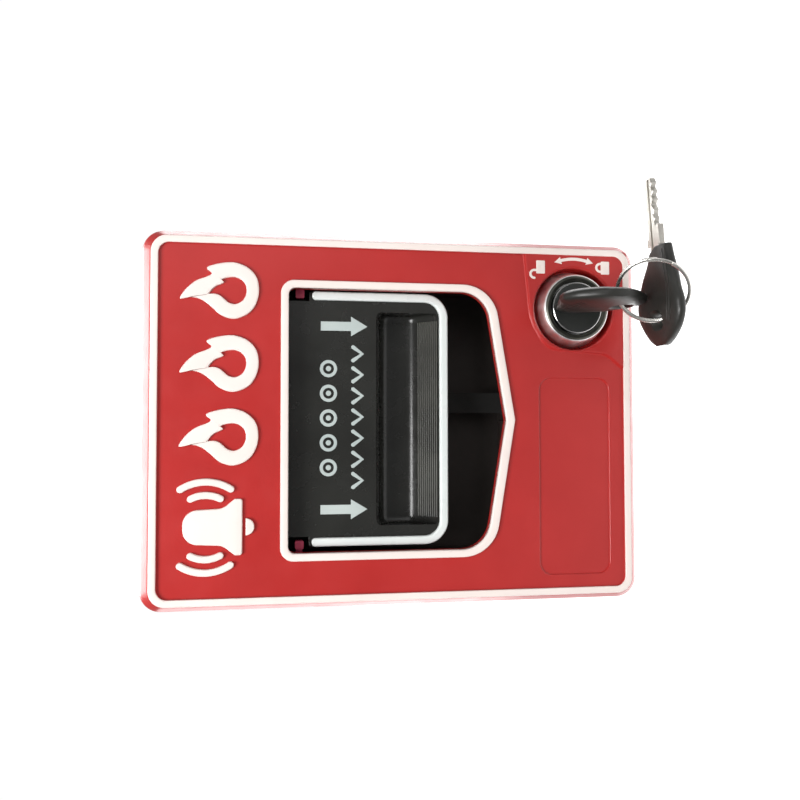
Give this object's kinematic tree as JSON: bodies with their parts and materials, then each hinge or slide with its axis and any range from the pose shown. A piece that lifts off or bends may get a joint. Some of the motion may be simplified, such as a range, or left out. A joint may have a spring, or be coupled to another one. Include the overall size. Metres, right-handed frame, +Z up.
{
  "type": "manual call point",
  "caption": "Wall-mounted red dual-action manual call point: push-in pull-down handle behind a framed window, key lock with key in place, hinged cover over a back plate.",
  "frame": {"origin": "middle of the back plate's rear face, on the wall plane", "axes": "+X to the right as seen from the front, +Y into the wall (the front faces -Y), +Z up as mounted"},
  "size_m": [0.1174, 0.0701, 0.1425],
  "materials": {
    "red": "gloss moulded red, raised marks painted white",
    "black": "satin moulded black",
    "well": "matte black",
    "white": "satin white",
    "yellow": "matte signal yellow",
    "grey": "fine-textured grey",
    "chrome": "bright chrome plate",
    "dark": "dark satin shutter",
    "key_plastic": "black moulded key head",
    "key_steel": "nickel-plated steel",
    "steel": "zinc plate",
    "board": "solder mask green",
    "terminal": "moulded green",
    "brass": "plain brass"
  },
  "bodies": {
    "base": {"back_plate": "grey", "hinge_pin_left": "steel", "hinge_pin_right": "steel", "latch_strike": "steel", "strike_screw": "steel"},
    "cover": {"front_cover": "red", "handle_well": "well", "well_screw_1": "steel", "well_screw_2": "steel", "well_screw_3": "steel", "well_screw_4": "steel", "activation_flag": "yellow", "guide_lug_left": "red", "guide_lug_right": "red", "push_spring_left": "steel", "push_spring_right": "steel", "circuit_board": "board", "board_screw_1": "steel", "board_screw_2": "steel", "terminal_block": "terminal", "terminal_screw_1": "brass", "terminal_screw_2": "brass", "terminal_screw_3": "brass", "terminal_screw_4": "brass", "switch_body": "black", "lock_housing": "chrome", "lock_nut": "steel"},
    "carriage": {"handle_carriage": "black", "latch_spring": "steel"},
    "handle": {"pull_handle": "black", "handle_trim": "white", "trip_arm": "black", "arm_screw": "steel"},
    "plunger": {"switch_plunger": "yellow"},
    "lock": {"lock_plug": "dark", "lock_cam": "steel", "cam_screw": "steel"},
    "key": {"key_blade": "key_steel", "key_bow": "key_plastic"},
    "ring": {"key_ring": "key_steel"},
    "spare_key": {"spare_key_blade": "key_steel", "spare_key_bow": "key_plastic"}
  },
  "joints": [
    {"name": "cover_hinge", "type": "hinge", "parent": "base", "child": "cover", "pos_m": [0, -0.0056, 0.066], "axis": [-1, 0, 0], "range_deg": [0, 85]},
    {"name": "handle_push", "type": "slide", "parent": "cover", "child": "carriage", "axis": [0, 1, 0], "range_m": [0, 0.0035], "stiffness_N_per_m": 900, "springref_m": -0.004, "deforming": ["push_spring_left", "push_spring_right"]},
    {"name": "handle_pull", "type": "slide", "parent": "carriage", "child": "handle", "axis": [0, 0, -1], "range_m": [0, 0.01]},
    {"name": "plunger_slide", "type": "slide", "parent": "cover", "child": "plunger", "axis": [-1, 0, 0], "range_m": [0, 0.002]},
    {"name": "lock_turn", "type": "hinge", "parent": "cover", "child": "lock", "pos_m": [0.0324, -0.0382, -0.0512], "axis": [0, 1, 0], "range_deg": [0, 90]},
    {"name": "key_withdraw", "type": "slide", "parent": "lock", "child": "key", "axis": [0, -1, 0], "range_m": [0, 0.024]},
    {"name": "ring_swing", "type": "hinge", "parent": "key", "child": "ring", "pos_m": [0.0324, -0.0575, -0.05515], "axis": [1, 0, 0], "range_deg": [-25, 20]},
    {"name": "spare_key_swing", "type": "hinge", "parent": "ring", "child": "spare_key", "pos_m": [0.0268, -0.0599, -0.06805], "axis": [0.2876, -0.6525, -0.7011], "range_deg": [-20, 10]}
  ],
  "couplings": [
    {"joint": "plunger_slide", "follows": "handle_pull", "ratio": 0.2}
  ]
}
